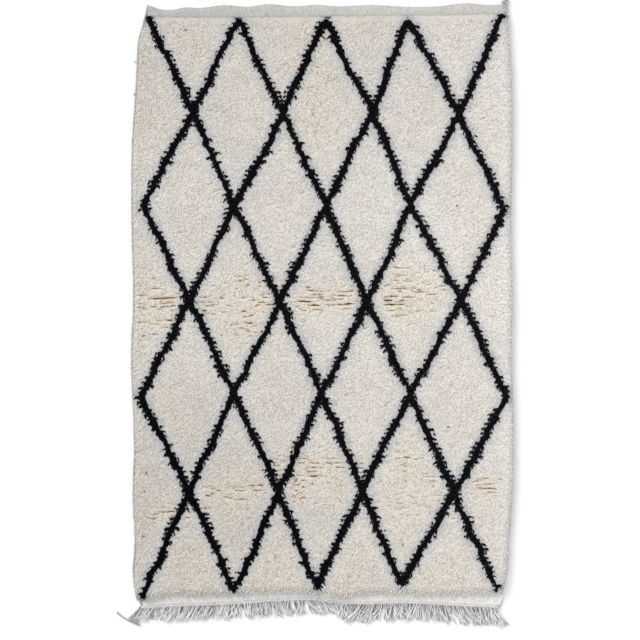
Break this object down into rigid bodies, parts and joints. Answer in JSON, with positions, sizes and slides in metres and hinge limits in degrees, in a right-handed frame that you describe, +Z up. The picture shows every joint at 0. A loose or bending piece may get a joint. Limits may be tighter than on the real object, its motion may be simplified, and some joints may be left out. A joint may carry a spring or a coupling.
{
  "type": "beni ourain rug",
  "caption": "Flat knotted wool pile rug with a black lozenge lattice on cream, flat-woven ends and a warp fringe along one end.",
  "frame": {"origin": "on the floor, under the middle of the whole outline with the fringe and the loose corner cord", "axes": "+X across the rug, +Y along it away from the fringed end, +Z up out of the pile"},
  "size_m": [1.5942, 2.508, 0.0241],
  "materials": {
    "cream_pile_wool": "matt hand-spun wool pile, undyed cream",
    "black_pile_wool": "matt hand-spun wool pile, near black",
    "warp_wool": "flat weave and twisted warp strands, undyed greyish white"
  },
  "bodies": {
    "root": {"pile_rug": "cream_pile_wool", "warp_fringe": "warp_wool"}
  },
  "joints": []
}
